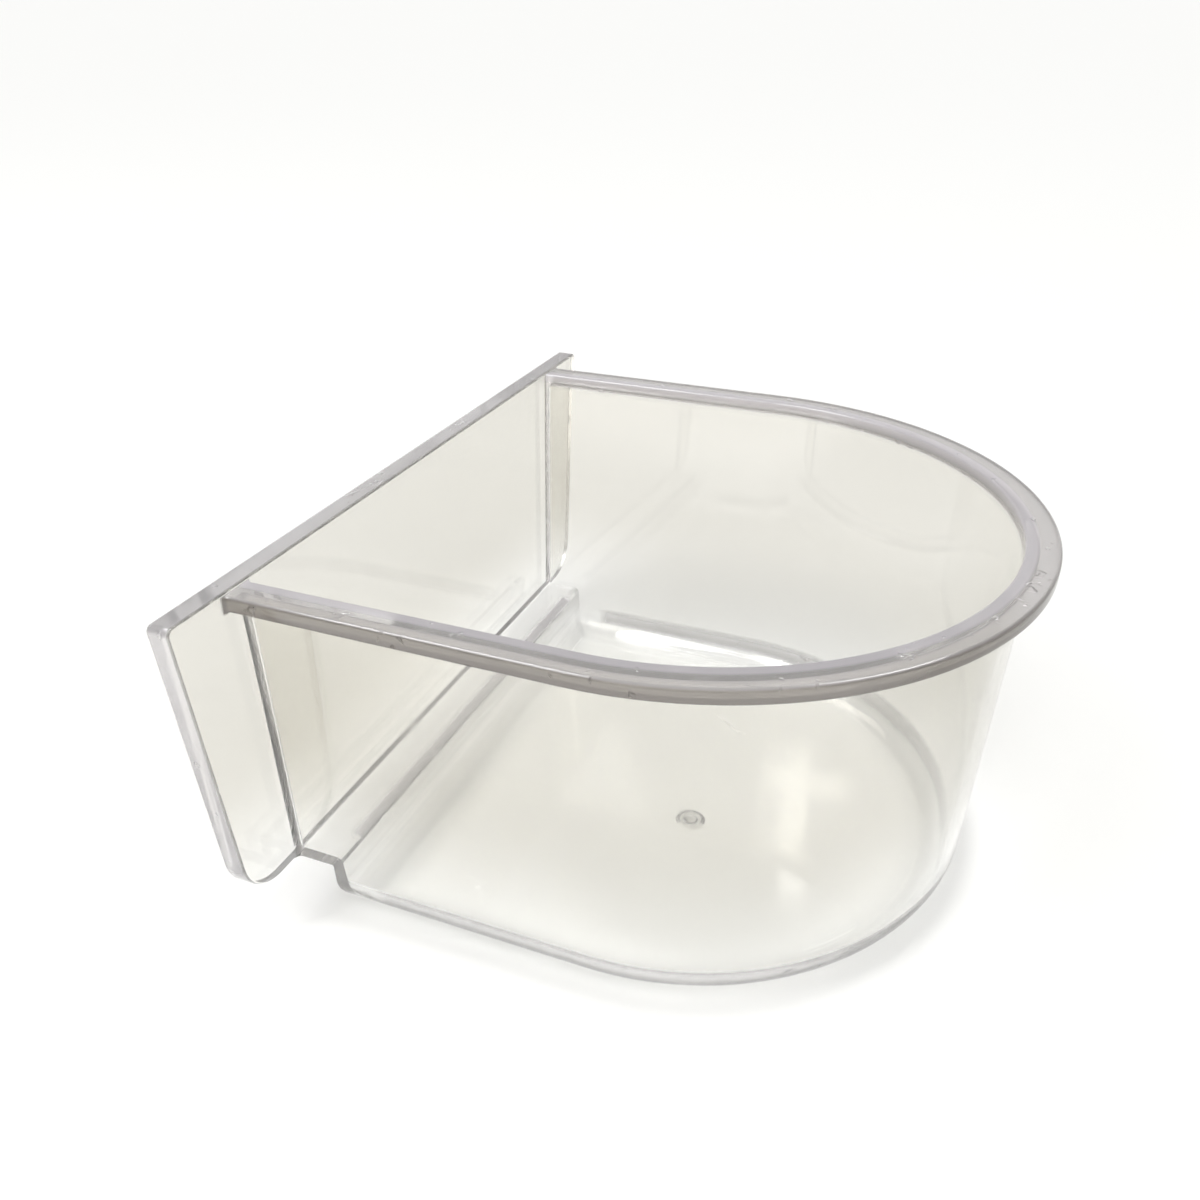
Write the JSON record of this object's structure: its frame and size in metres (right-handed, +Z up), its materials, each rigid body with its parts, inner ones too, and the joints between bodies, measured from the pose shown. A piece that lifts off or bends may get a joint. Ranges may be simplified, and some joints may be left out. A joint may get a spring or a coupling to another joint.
{
  "type": "bird cage feeder cup",
  "caption": "Clear plastic D-shaped seed or water cup for a bird cage, with a rim flange, a notched back and a winged back plate that slides into the cage opening's guides.",
  "frame": {"origin": "on the base, under the middle of the overall box", "axes": "+X along the back plate, -Y towards the bowed front of the cup, +Z up"},
  "size_m": [0.0998, 0.082, 0.046],
  "materials": {
    "clear_polystyrene": "clear moulded polystyrene, polished, very slightly warm grey"
  },
  "bodies": {
    "root": {"back_panel": "clear_polystyrene", "left_wing": "clear_polystyrene", "right_wing": "clear_polystyrene", "left_wall": "clear_polystyrene", "front_wall": "clear_polystyrene", "right_wall": "clear_polystyrene", "cup_floor": "clear_polystyrene", "sill_riser": "clear_polystyrene", "sill_ledge": "clear_polystyrene", "left_rim": "clear_polystyrene", "front_rim": "clear_polystyrene", "right_rim": "clear_polystyrene", "gate_nub": "clear_polystyrene"}
  },
  "joints": []
}
